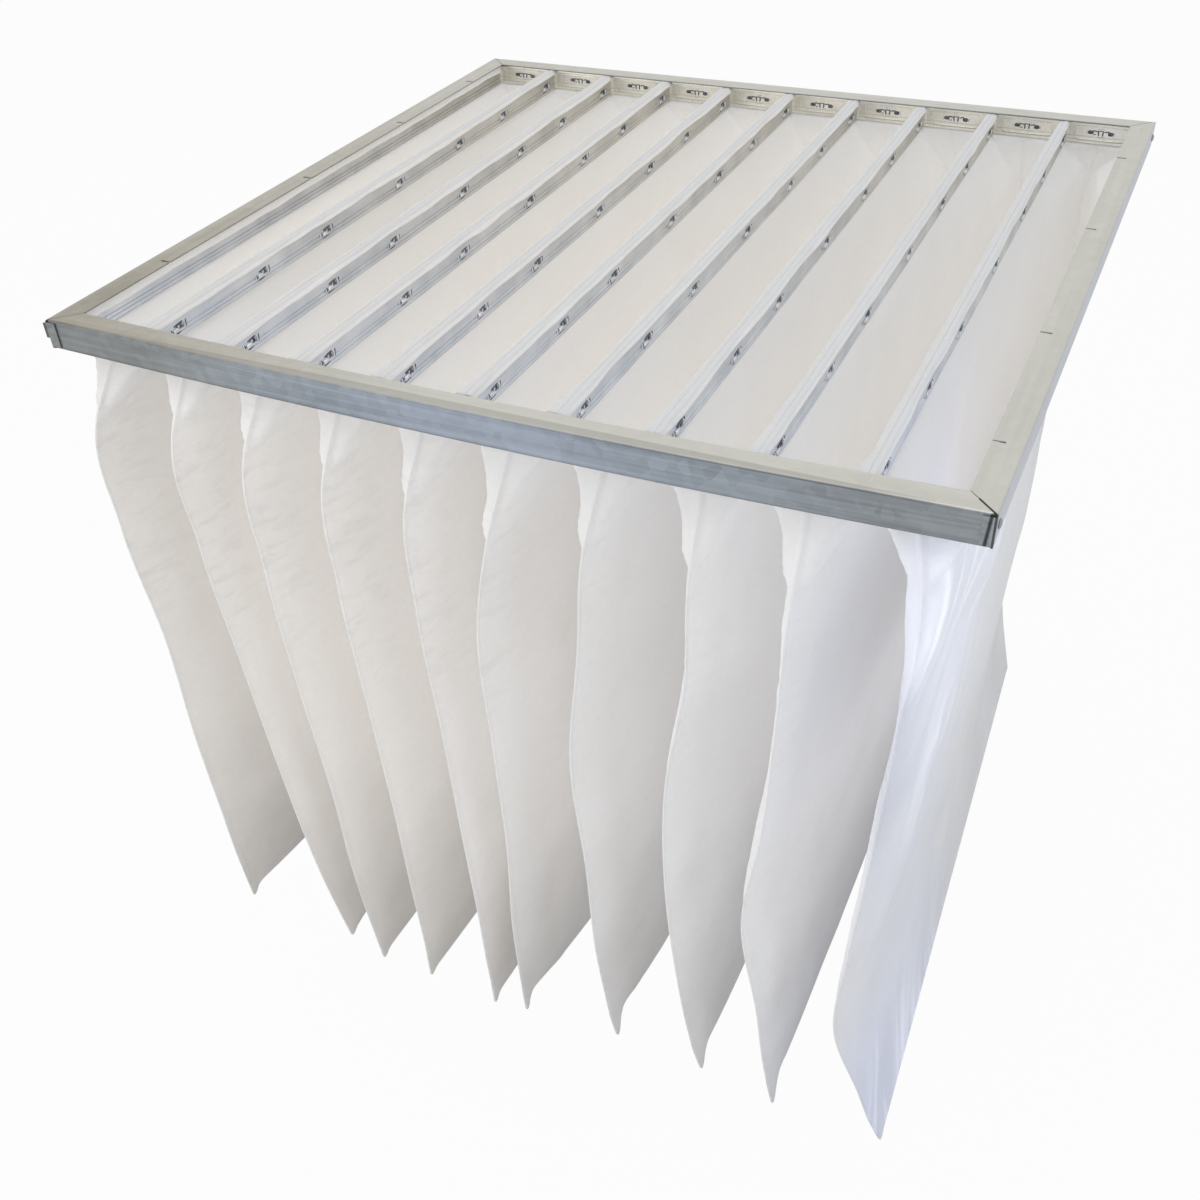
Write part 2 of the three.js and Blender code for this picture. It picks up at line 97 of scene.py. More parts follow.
# How each pocket hangs: sway of its front and back seams, extra length, depth of its gusset,
# fullness of its upper part, how far its front and back corners are drawn out into a tail,
# how strongly its seams pucker, how straight its bottom seam runs from front to back, and
# fullness of its left flank near the gusset
HANGS = (
    dict(front=(-6, -9, 1, -2, -3, -11, -17, -22), back=(-3, -4, -4, -2, 0, 2, 3, 4),
         extra=-12, gusset=36, full=1.0, tail=9, pucker=1.0),
    dict(front=(1, 1, 11, 18, 24, 25, 25, 24), back=(-2, -2, 0, 4, 7, 8, 9, 9),
         extra=-8, gusset=28, full=1.0, tail=4, pucker=1.0),
    dict(front=(-4, -5, 1, 7, 6, 3, 0, -3), back=(-1, -2, -3, -1, 2, 5, 6, 6),
         extra=7, gusset=36, full=1.0, tail=5, pucker=0.9),
    dict(front=(-4, -5, 1, 4, 3, -2, -8, -13), back=(-2, -3, -2, 0, 2, 2, 1, 0),
         extra=6, gusset=39, full=1.0, tail=3, pucker=0.9),
    dict(front=(-5, -5, 1, 3, 4, -1, -5, -9), back=(0, -1, -3, -3, -1, 1, 2, 3),
         extra=10, gusset=45, full=1.0, tail=8, pucker=0.5),
    dict(front=(-10, -19, -18, -18, -24, -29, -33, -36), back=(-2, -4, -5, -6, -8, -8, -8, -8),
         extra=3, gusset=62, full=1.0, tail=19, pucker=0.4),
    dict(front=(-5, -9, -19, -14, -13, -12, -12, -11), back=(-2, -3, -5, -6, -4, -2, -1, 0),
         extra=-10, gusset=50, full=1.0, tail=32, pucker=0.4),
    dict(front=(1, 1, -12, -13, -7, -3, 0, 3), back=(-1, -2, -4, -5, -3, 0, 2, 3),
         extra=-8, gusset=46, full=1.0, tail=26, pucker=0.3),
    dict(front=(1, -1, -6, -17, -5, -1, 2, 4), back=(-1, -2, -3, -5, -4, -2, 0, 1),
         extra=2, gusset=45, full=1.0, tail=36, pucker=0.3),
    dict(front=(9, 8, 3, -4, -7, 12, 22, 30), back=(-4, -6, -9, -13, -17, -10, 0, 8),
         extra=-4, gusset=24, full=0.5, tail=6, pucker=0.3, back_tail=2, straight=1,
         left_full=0.85),
)
BACK_TAIL = 8.0


# Shaders

class Wire:
    """A value in a node tree that can be used in sums."""

    def __init__(self, socket):
        self.socket = socket

    def math(self, operation, other=None, swap=False):
        node = self.socket.id_data.nodes.new("ShaderNodeMath")
        node.operation = operation
        parts = [self, other]
        if swap:
            parts.reverse()
        for place, part in zip(node.inputs, parts):
            feed(place, part)
        return Wire(node.outputs[0])

    def __add__(self, other):
        return self.math("ADD", other)

    def __radd__(self, other):
        return self.math("ADD", other, True)

    def __sub__(self, other):
        return self.math("SUBTRACT", other)

    def __rsub__(self, other):
        return self.math("SUBTRACT", other, True)

    def __mul__(self, other):
        return self.math("MULTIPLY", other)

    def __rmul__(self, other):
        return self.math("MULTIPLY", other, True)


def feed(socket, value):
    """Links a wire to a socket, or sets the socket's own value."""
    if value is None:
        return
    if isinstance(value, Wire):
        socket.id_data.links.new(value.socket, socket)
    elif isinstance(value, (tuple, list)) and len(value) == 3 and len(socket.default_value) == 4:
        socket.default_value = (*value, 1.0)
    else:
        socket.default_value = value


class Finish:
    """A material with its shader, and one method that adds any node."""

    def __init__(self, name):
        self.material = bpy.data.materials.new(name)
        self.material.use_nodes = True
        self.tree = self.material.node_tree
        self.tree.nodes.clear()

    def node(self, kind, settings=None, outlet=0, **inputs):
        """Adds a node; an input is given by its name, or as n and its number."""
        node = self.tree.nodes.new("ShaderNode" + kind)
        for key, value in (settings or {}).items():
            setattr(node, key, value)
        for key, value in inputs.items():
            numbered = key[0] == "n" and key[1:].isdigit()
            feed(node.inputs[int(key[1:]) if numbered else key.replace("_", " ")], value)
        return Wire(node.outputs[outlet])

    def spread(self, value, low, high, to_low=0.0, to_high=1.0):
        """Goes from to_low at low to to_high at high, and stays level beyond them."""
        return self.node("MapRange", {"clamp": True},
                         n0=value, n1=low, n2=high, n3=to_low, n4=to_high)

    def band(self, value, centre, flat, end):
        """1 within flat of the centre, and 0 from the end on."""
        return self.spread((value - centre).math("ABSOLUTE"), flat, end, 1.0, 0.0)

    def tint(self, share, first, second, blend="MIX"):
        return self.node("Mix", {"data_type": "RGBA", "blend_type": blend}, 2,
                         n0=share, n6=first, n7=second)

    def shade(self, colour, amount):
        grey = self.node("CombineColor", n0=amount, n1=amount, n2=amount)
        return self.tint(1.0, colour, grey, "MULTIPLY")

    def spot(self):
        """The place on the object, as three wires: across, towards the back, and level."""
        parts = self.node("SeparateXYZ", Vector=self.node("TexCoord", outlet=3)).socket.node
        return [Wire(socket) for socket in parts.outputs]

    def place(self, scale=(1, 1, 1)):
        return self.node("Mapping", Vector=self.node("TexCoord", outlet=3), Scale=scale)

    def noise(self, scale, detail=3.0, stretch=(1, 1, 1), roughness=0.5):
        return self.node("TexNoise", n0=self.place(stretch), Scale=scale, Detail=detail,
                         Roughness=roughness)

    def done(self, normal=None, **sockets):
        """Adds the shader and the output, and gives the material."""
        node = self.tree.nodes.new("ShaderNodeBsdfPrincipled")
        for key, value in sockets.items():
            feed(node.inputs[key.replace("_", " ")], value)
        feed(node.inputs["Normal"], normal)
        end = self.tree.nodes.new("ShaderNodeOutputMaterial")
        self.tree.links.new(node.outputs[0], end.inputs[0])
        return self.material


# The header's steel: each kind is a dark and a light colour. The web and flange colours are painted
# shade and painted light on one steel, the shaded left kinds a painted darker reflection, the
# gleaming web a painted highlight, and the right web a painted highlight on the right corner lip
# and the right rail's web
WEB_STEEL = (0.208, 0.228, 0.241), (0.358, 0.389, 0.411)
SHADED_LEFT_WEB = (0.134, 0.143, 0.138), (0.256, 0.264, 0.252)
GLEAMING_WEB = (0.269, 0.31, 0.374), (0.422, 0.482, 0.571)
RIGHT_WEB = (0.461, 0.492, 0.527)
FLANGE_STEEL = (0.52, 0.512, 0.465), (0.59, 0.582, 0.534)
SHADED_LEFT_FLANGE = (0.274, 0.248, 0.195), (0.37, 0.341, 0.275)

# Where it changes, in metres: from and to, or the centre, flat and end of a band
LEFT_SIDE = (-0.02, -0.3)
LEFT_SHADE_FADE = (-0.25, 0.2)
TOP_FLANGE = (0.0193, 0.01995)
GLEAM = (0.02, 0.04, 0.23)
RIGHT_WEB_ACROSS = (0.2935, 0.2965)
FRONT_WEB = (-0.2945, -0.2935)
BELOW_TOP = (0.0195, 0.0199)
FOOT = (0.0002, 0.002)
LAP_LEAN = 0.08
LAP_LINE = (0.2917, 0.0005, 0.0012)
CORNER_LINE = (0.2966, 0.0013, 0.002)
MITRE_SLIT = (0.0, 0.0006, 0.0013)
MITRE_INNER_END = (0.2842, 0.2848)
BEND_LINE = (0.0194, 0.0004, 0.0008)
BEND_FADES = (0.23, 0.28)
EAR_ACROSS = (-0.2958, -0.2966)
EAR_AWAY = (-0.285, -0.289)


def header_finish(name, stretch):
    """Galvanised sheet with rolling streaks. Its pale top and darker web are painted light and
    painted shade on one steel, and its left side is darkened with a painted darker reflection.

    Dark lines are painted shade along the bend of the front web, and along the lap at its right end
    and in the slit of the mitre, which are joints darkened with painted shade. Painted highlights
    lie across the middle of the front web and on the right corner lip, and painted shade darkens
    the ear at the front left corner and the foot of the web.
    """
    f = Finish(name)
    spangle = f.node("TexVoronoi", {"feature": "F1"}, 1, n0=f.place(), Scale=150.0)
    grain = f.node("RGBToBW", Color=spangle)
    streaks = f.noise(1.0, 4.0, stretch, 0.6)
    blotch = f.noise(14.0, 3.0)
    across, away, level = f.spot()
    tone = f.spread((grain - 0.5) * 0.2 + streaks * 0.8 + (blotch - 0.5) * 0.4, 0.2, 0.7)
    # Painted darker reflection on the left side, fading on the flange towards the back
    left = f.spread(across + (blotch - 0.5) * 0.1, *LEFT_SIDE)
    left_shade_fade = f.spread(away, *LEFT_SHADE_FADE, 1.0, 0.25)

    web = f.tint(left * 0.7, f.tint(tone, *WEB_STEEL), f.tint(tone, *SHADED_LEFT_WEB))
    # Painted highlight across the middle of the front web
    web = f.tint(f.band(across, *GLEAM) * 0.8, web, f.tint(tone, *GLEAMING_WEB))
    # Painted highlight on the right corner lip and the right rail's web
    web = f.tint(f.spread(across, *RIGHT_WEB_ACROSS), web, RIGHT_WEB)
    flange = f.tint(left * left_shade_fade * 0.85, f.tint(tone, *FLANGE_STEEL), f.tint(tone, *SHADED_LEFT_FLANGE))
    # Painted light and shade: the flange colours on the top, the darker web colours below
    colour = f.tint(f.spread(level, *TOP_FLANGE), web, flange)

    # Painted shade: a dark line along the bend of the front web, the lap's edges and the mitre's
    # slit as joints darkened with painted shade, the darker ear at the front left corner and the
    # darker foot of the web
    front = f.spread(away, *FRONT_WEB, 1.0, 0.0)
    lap = f.band(across - level * LAP_LEAN, *LAP_LINE) + f.band(across, *CORNER_LINE)
    lap = lap * (front * f.spread(level, *BELOW_TOP, 1.0, 0.0))
    slit = f.band(across + away, *MITRE_SLIT) * f.spread(across, *MITRE_INNER_END)
    bend = f.band(level, *BEND_LINE) * front * f.spread(across, *BEND_FADES, 0.45, 0.0)
    ear = f.spread(across, *EAR_ACROSS) * f.spread(away, *EAR_AWAY)
    lines = (1.0 - bend) * (1.0 - 0.8 * (lap + slit).math("MINIMUM", 1.0))
    light = f.spread(level, *FOOT, 0.55, 1.0) * (1.0 - 0.55 * ear) * lines
    bump = f.node("Bump", Strength=0.12, Distance=0.0003, Height=streaks * 0.6 + grain * 0.4)
    return f.done(bump, Base_Color=f.shade(colour, light), Metallic=0.8,
                  Roughness=f.spread(tone, 0.0, 1.0, 0.48, 0.34))


# The retainers' strip: dark and light colours at the front and at the back of the filter, whose
# change from a bluish front to a warmer back is a painted reflection
FRONT_STRIP = (0.537, 0.58, 0.655), (0.786, 0.825, 0.895)
BACK_STRIP = (0.468, 0.454, 0.409), (0.672, 0.657, 0.606)
GROOVE_SHADE_COLOUR = (0.2, 0.225, 0.27)
STRIP_AWAY = (-0.22, 0.2)
LOWER_GROOVE = (0.0046, 0.0003, 0.0006)
UPPER_GROOVE = (0.0074, 0.0002, 0.0005)
STRIP_FOOT = (0.0014, 0.0024)
END_WALL = (0.279, 0.2825)


def retainer_finish():
    """Bright galvanised strip with cloudy patches, its two pressed grooves darkened with painted
    shade, its foot darkened with painted shade and its end walls lightened with painted light.
    """
    f = Finish("retainer_strip")
    lines = f.noise(1.0, 3.0, (700, 12, 900), 0.55)
    cloud = f.noise(38.0, 3.0)
    _, away, level = f.spot()
    # Painted reflection: bluish at the front of the filter, warmer at the back
    far = f.spread(away, *STRIP_AWAY)
    tone = f.spread(lines * 0.5 + cloud * 0.7, 0.35, 0.85)
    dark, light = (f.tint(far, *pair) for pair in zip(FRONT_STRIP, BACK_STRIP))
    # Painted light on the end walls, which also weakens the painted groove shade there
    end = f.spread(away, *END_WALL)
    # Painted shade in the two pressed grooves
    groove_shade = f.band(level, *LOWER_GROOVE) + f.band(level, *UPPER_GROOVE) * 0.7
    colour = f.tint(groove_shade * 0.38 * (1.0 - end * 0.5), f.tint(tone, dark, light), GROOVE_SHADE_COLOUR)
    # Painted shade at the strip's foot, painted light on the end walls
    colour = f.shade(colour, f.spread(level, *STRIP_FOOT, 0.5, 1.0) * (1.0 + end * 0.45))
    bump = f.node("Bump", Strength=0.15, Distance=0.0002, Height=lines)
    return f.done(bump, Base_Color=colour, Metallic=0.8,
                  Roughness=f.spread(cloud, 0.3, 0.7, 0.42, 0.3))


def plain_metal(name, dark, light, roughness):
    """Metal with fine cloudy patches."""
    f = Finish(name)
    cloud = f.noise(260.0, 2.0)
    return f.done(Base_Color=f.tint(f.spread(cloud, 0.3, 0.7), dark, light), Metallic=0.9,
                  Roughness=f.spread(cloud, 0.3, 0.7, roughness, roughness + 0.12))


# Where the cloth's looks change, in metres: from and to, or centre, flat and end of a band
HUE_DRIFT = (-0.08, 0.3)
OUTER_ACROSS = (0.248, 0.27)
OUTER_AWAY = (-0.22, 0.0)
RIDGED = (0.268, 0.28)
SEAM_AWAY = (-0.305, -0.255)
CRINKLED_LEVELS = (-0.1, 0.06, 0.13)
CRINKLED_ACROSS = (-0.06, 0.06)
DARKER_FOOT = (-0.54, -0.3)
LEVEL_TOP = (0.0172, 0.0184)
TO_RIGHT = (-0.05, 0.27)
LIT_RIGHT = (0.1, 0.22)
LIT_LEFT = (-0.27, -0.16)
DIM_FLANK = (0.254, 0.008, 0.018)
DIM_LEVELS = (-0.14, 0.04, 0.09)
BRIGHT_ACROSS = (0.262, 0.276)
BRIGHT_LEVELS = (-0.12, 0.05, 0.16)
OUTER_HUE = (0.79, 0.815, 0.925)


def cloth_finish(name, warm, cool, depth, through, glow,
                 low=1.0, blue=0.0, top=1.0, right=1.0, bright=1.0):
    """Non-woven cloth: matted fibres and soft clouds, under a painted tint of the light that drifts
    from warm to cool across the filter.

    The glow stands for daylight that passes through the thin walls of many pockets. As painted
    shade, the colour and the glow fall off to low at the bottom and to right at the last pocket; as
    painted light, the glow rises to bright there and falls on the first pockets, and where it rises
    a band of the last pocket is dimmed with painted shade. The share blue brings the last pocket's
    bluish front, a painted tint of the light, with its slanted ridges, which are bumps with painted
    highlights, and a painted glow high on its outer side, and the crinkles beside the seams of the
    first pockets, which are bumps with painted shade. What lies level on the retainers is dimmed to
    top with painted shade.
    """
    f = Finish(name)
    fibres = f.noise(950.0, 4.0, roughness=0.7)
    mat = f.noise(210.0, 3.0, roughness=0.65)
    cloud = f.noise(16.0, 3.0)
    across, away, level = f.spot()

    # Painted tint of the light, warm on the left and cool on the right
    hue = f.tint(f.spread(across + (cloud - 0.5) * 0.35, *HUE_DRIFT), warm, cool)
    front = f.spread(away + (cloud - 0.5) * 0.2, *OUTER_AWAY, 1.0, 0.0)
    outer = f.spread(across, *OUTER_ACROSS) * front
    # Painted tint of the light: bluish on the front of the last pocket's outer side
    hue = f.tint(outer * blue, hue, OUTER_HUE)

    slant = f.node("CombineXYZ", n0=across * 4.0, n1=(away - level * 0.42) * 42.0, n2=level * 5.0)
    # Slanted ridges: bumps, and painted highlights in the colour and the glow
    ridge = f.spread(f.node("TexNoise", n0=slant, Scale=1.0, Detail=2.0), 0.5, 0.7) * outer
    ridge = ridge * f.spread(across, *RIDGED) * blue
    # Crinkles: bumps, and painted shade in the colour
    crinkle = f.spread(f.noise(1.0, 2.0, (26, 40, 150), 0.55), 0.5, 0.68)
    crinkle = crinkle * f.spread(away, *SEAM_AWAY, 1.0, 0.0) * f.band(level, *CRINKLED_LEVELS)
    crinkle = crinkle * f.spread(across, *CRINKLED_ACROSS, 1.0, 0.25) * blue

    # Painted shade on a band of the last pocket, painted glow high on its outer side, and a painted
    # glow that rises to the right and falls to the left
    dim = f.band(across, *DIM_FLANK) * f.band(level, *DIM_LEVELS) * (2.0 * (bright - 1.0))
    nose = outer * f.spread(across, *BRIGHT_ACROSS) * f.band(level, *BRIGHT_LEVELS) * blue
    lit = f.spread(across, *LIT_RIGHT, 1.0, bright) * f.spread(across, *LIT_LEFT, 2.0 - bright, 1.0)
    lit = lit * (1.0 - 0.6 * dim) + nose

    # Painted shade: darker towards the bottom, on the level tops and towards the right, lighter on
    # the ridges and darker in the dimmed band
    fall = f.spread(level + (cloud - 0.5) * 0.12, *DARKER_FOOT, low, 1.0)
    fall = fall * f.spread(level, *LEVEL_TOP, 1.0, top) * f.spread(across, *TO_RIGHT, 1.0, right)
    fall = fall * (1.0 + ridge * 0.12) * (1.0 - 0.11 * dim)
    grain = f.spread(fibres * 0.5 + mat * 0.5, 0.35, 0.65, 0.965, 1.015) - crinkle * 0.085
    colour = f.shade(hue, grain * fall * f.spread(cloud, 0.3, 0.7, 0.98, 1.015))
    height = fibres * 0.55 + mat * 0.45 + ridge * 4.0 - crinkle * 3.5
    bump = f.node("Bump", Strength=depth, Distance=0.0006, Height=height)
    return f.done(bump, Base_Color=colour, Roughness=0.92, Sheen_Weight=0.08,
                  Subsurface_Weight=through, Subsurface_Radius=(1.0, 1.0, 1.0),
                  Subsurface_Scale=0.0025, Emission_Strength=glow,
                  Emission_Color=f.shade(hue, fall * lit * (1.0 + ridge * 1.5)))


HEADER_ACROSS = header_finish("header_sheet_across", (3, 160, 420))
HEADER_ALONG = header_finish("header_sheet_along", (160, 3, 420))
STRIP = retainer_finish()
RIVET = plain_metal("rivet_zinc", (0.234, 0.245, 0.256), (0.374, 0.387, 0.4), 0.35)
# Lighter copy of the strip on the pressed bumps, painted highlight; dark copy on the dark pads,
# painted shade
PRESSED_HIGHLIGHT = plain_metal("pressed_painted_highlight", (0.62, 0.65, 0.7), (0.82, 0.84, 0.88), 0.25)
SHADE = plain_metal("pressed_shade", (0.078, 0.083, 0.1), (0.187, 0.198, 0.224), 0.5)
POCKET = cloth_finish("pocket_cloth", (0.83, 0.815, 0.8), (0.825, 0.83, 0.85),
                      depth=0.3, through=1.0, glow=0.085, low=0.78, blue=1.0, bright=1.5)
# A lighter copy of the cloth with a stronger glow on the pockets' inner faces, painted light inside
# the pockets
INSIDE_LIT_CLOTH = cloth_finish("pocket_inside_painted_light", (0.885, 0.865, 0.835), (0.87, 0.86, 0.845),
                      depth=0.2, through=1.0, glow=0.13, blue=0.8, right=0.925)
# The hems' level tops are dimmed with painted shade
HEM = cloth_finish("hem_cloth", (0.93, 0.915, 0.895), (0.92, 0.92, 0.925),
                   depth=0.2, through=0.0, glow=0.06, top=0.77)


# Meshes

def centre_of(index):
    """The middle of a pocket, across the filter."""
    return (index - (POCKETS - 1) / 2) * PITCH


def beside_header(index, side):
    """Whether a pocket's side touches the header and no other pocket."""
    return (index == 0 and side < 0) or (index == POCKETS - 1 and side > 0)


def mesh_piece(name, points, faces, material, smooth=True):
    """A mesh from points in millimetres."""
    mesh = bpy.data.meshes.new(name)
    points = np.asarray(points, float) * MM
    mesh.from_pydata(points.tolist(), [], [tuple(int(i) for i in f) for f in faces])
    mesh.materials.append(material)
    mesh.polygons.foreach_set("use_smooth", [smooth] * len(mesh.polygons))
    mesh.update()
    piece = bpy.data.objects.new(name, mesh)
    bpy.context.scene.collection.objects.link(piece)
    return piece


def grid_faces(rows, columns, loop=False, start=0):
    """Quads between the rows of a grid of points; loop closes each row."""
    faces = []
    last = columns if loop else columns - 1
    for r in range(rows - 1):
        for c in range(last):
            d = (c + 1) % columns
            faces.append((start + r * columns + c, start + r * columns + d,
                          start + (r + 1) * columns + d, start + (r + 1) * columns + c))
    return faces


def smooth_curve(places, values):
    """A smooth curve through points, as a function of place."""
    places = np.asarray(places, float)
    values = np.asarray(values, float)
    slopes = np.gradient(values, places)

    def at(x):
        x = np.clip(np.asarray(x, float), places[0], places[-1])
        i = np.clip(np.searchsorted(places, x) - 1, 0, len(places) - 2)
        span = places[i + 1] - places[i]
        t = (x - places[i]) / span
        a = 2 * t ** 3 - 3 * t ** 2 + 1
        b = t ** 3 - 2 * t ** 2 + t
        c = -2 * t ** 3 + 3 * t ** 2
        d = t ** 3 - t ** 2
        return a * values[i] + b * span * slopes[i] + c * values[i + 1] + d * span * slopes[i + 1]

    return at


def waves(seed, x, y, size, octaves=3):
    """Smooth random ripples between about -1 and 1, with features of a given size."""
    rng = np.random.default_rng(seed)
    total = np.zeros(np.broadcast(x, y).shape)
    weight = 0.0
    for octave in range(octaves):
        step = size / 2 ** octave
        share = 0.55 ** octave
        for _ in range(4):
            angle = rng.uniform(0, math.pi)
            phase = rng.uniform(0, 2 * math.pi)
            rate = 2 * math.pi / (step * rng.uniform(0.8, 1.5))
            place = x * math.cos(angle) + y * math.sin(angle)
            total = total + share * np.sin(rate * place + phase)
        weight += share * 2.0
    return total / weight


def gentle(x, low, high):
    """0 below low, 1 above high and smooth between them."""
    t = np.clip((np.asarray(x, float) - low) / (high - low), 0, 1)
    return t * t * (3 - 2 * t)


# Cloth pockets

FLAT_HALF = 627.0
FLANK_ROUNDNESS = 0.62
OUTLINE_SMOOTHING = (1, 4, 7, 8, 7, 4, 1)

# Places of the points round half a pocket, closer together at the seams
SEAM_COLUMNS = np.array([
    0, 2.2, 4.5, 6, 8, 11, 14, 17.5, 21, 24.5, 28, 31, 34.5, 39, 44, 50, 57, 65, 75, 87, 101,
    117, 136, 158, 184, 214, 248, 284,
])
COLUMNS = np.concatenate([SEAM_COLUMNS, FLAT_HALF - SEAM_COLUMNS[::-1]]) / FLAT_HALF

# Rings inside the header: level, half depth, and share of the step to the neck that is taken
MOUTH_RINGS = (
    (MOUTH_TOP - 1.2, MOUTH_HALF_DEPTH, 0), (12.0, MOUTH_HALF_DEPTH, 0),
    (5.0, MOUTH_HALF_DEPTH, 0), (MOUTH_BOTTOM + 0.5, MOUTH_HALF_DEPTH, 0),
    (MOUTH_BOTTOM, MOUTH_HALF_DEPTH - 0.8, 0.4), (MOUTH_BOTTOM - 0.1, NECK_HALF_DEPTH + 0.6, 1),
)

# Folds: angle, height, width and reach of those that start at each gusset's tip, and place,
# angle, height, width and reach of the long ones on the last pocket's outer side
GUSSET_FOLDS = ((0.62, 3.4, 5.5, 64.0), (0.25, -2.2, 5.0, 48.0), (0.95, 2.0, 4.0, 38.0))
OUTER_FOLDS = (
    (150, -70, -1.95, 6.5, 15.0, 420.0), (105, -120, -1.82, 2.6, 7.0, 380.0),
    (62, -180, -1.75, 1.8, 6.0, 300.0), (128, -100, -1.9, -2.5, 8.0, 380.0),
)


# The share of a pocket's depth above its bottom seam in which it closes
CLOSING = 0.045


def pocket_levels(length):
    """The levels of a pocket's rings, as shares of its length."""
    top = np.arange(0, 130, 3.6)
    middle = np.arange(130, length - 22, 7.2)
    end = np.array([length - 16, length - 11, length - SEAM_WIDTH, length - 4, length - 1.2,
                    length])
    return np.concatenate([top, middle, end]) / length


def section(edge, full, front, back, roof, flange, front_roundness=FLANK_ROUNDNESS):
    """Half of a pocket's outline at one level, from the front seam's tip to the back seam's.

    It gives the points, their outward directions and their places along the outline.
    """
    thin = SEAM_HALF_THICKNESS
    s = np.linspace(0, 1, 140)
    corner_front = front + roof
    corner_back = back - roof
    edge = max(edge, thin)
    full = max(full, thin)
    least = min(edge, full)
    roundness = np.where(s < 0.5, front_roundness, FLANK_ROUNDNESS)
    wide = least + (full - least) * np.sin(math.pi * s) ** roundness
    lead_x = [thin * 0.7, thin, thin]
    xs = np.concatenate([lead_x, np.maximum(wide, thin), lead_x[::-1]])
    ys = np.concatenate([
        [front - flange, front - flange * 0.75, front - 0.3],
        corner_front + (corner_back - corner_front) * s,
        [back + 0.3, back + flange * 0.75, back + flange],
    ])
    along = np.concatenate([[0], np.cumsum(np.hypot(np.diff(xs), np.diff(ys)))])
    fine = np.linspace(0, along[-1], 640)
    kernel = np.array(OUTLINE_SMOOTHING, float)
    kernel /= kernel.sum()
    edges = len(kernel) // 2
    curves = []
    for values in (xs, ys):
        rough = np.interp(fine, along, values)
        curve = np.convolve(np.pad(rough, edges, mode="edge"), kernel, "valid")
        curve[0], curve[-1] = rough[0], rough[-1]
        curves.append(curve)
    spots = COLUMNS * along[-1]
    px, py = (np.interp(spots, fine, curve) for curve in curves)
    tx, ty = (np.interp(np.minimum(spots + 2, along[-1]), fine, curve)
              - np.interp(np.maximum(spots - 2, 0), fine, curve) for curve in curves)
    size = np.maximum(np.hypot(tx, ty), 1e-6)
    return px, py, ty / size, -tx / size, spots


def crease(c, z, at_c, at_z, angle, height, width, reach):
    """A fold that starts at a point and runs off at an angle, fading as it goes."""
    dx, dz = c - at_c, z - at_z
    along = dx * math.cos(angle) + dz * math.sin(angle)
    across = -dx * math.sin(angle) + dz * math.cos(angle)
    spread = width * (1 + 0.6 * np.clip(along / reach, 0, 1))
    fade = gentle(along, -4, 10) * (1 - gentle(along, reach * 0.3, reach))
    return height * np.exp(-(across / spread) ** 2) * fade


def folds(index, side, c, z, hang, length):
    """How far the cloth stands out at each place: clouds, puckers at the seam and long folds."""
    seed = 100 * index + (7 if side > 0 else 3)
    depth = -z
    calm = gentle(depth, 4, 40) * gentle(c, 5, 30) * (1 - gentle(depth, length - 14, length - 3))
    out = 1.3 * waves(seed, c, z, 150.0, 2) * calm
    out = out + 0.35 * waves(seed + 1, c, z * 0.8, 42.0, 2) * calm

    near = np.exp(-np.maximum(c - 6, 0) / 26.0) * gentle(c, 5, 12)
    upper = gentle(depth, 14, 40) * (1 - gentle(depth, 110, 190))
    drift = 2.5 * waves(seed + 2, c, z, 60.0, 2)
    ripple = np.sin(2 * math.pi * (z + 0.25 * c) / 15.0 + drift)
    strength = 0.5 + 0.5 * waves(seed + 3, c, z, 45.0, 1)
    out = out + hang["pucker"] * 1.9 * ripple * near * upper * strength

    lower = np.exp(-np.maximum(c - 6, 0) / 18.0) * gentle(c, 5, 10) * gentle(depth, 190, 260)
    ripple = np.sin(2 * math.pi * z / 23.0 + 3 * waves(seed + 4, c, z, 80.0, 2))
    out = out + 0.25 * ripple * lower * (1 - gentle(depth, length - 40, length - 10))

    rng = np.random.default_rng(seed + 5)
    for turn, height, width, reach in GUSSET_FOLDS:
        angle = turn + rng.uniform(-0.08, 0.08)
        out = out + crease(c, z, 5, -hang["gusset"] - 3, angle, height, width, reach)
    if index == POCKETS - 1 and side > 0:
        for fold in OUTER_FOLDS:
            out = out + crease(c, z, *fold)
    return out


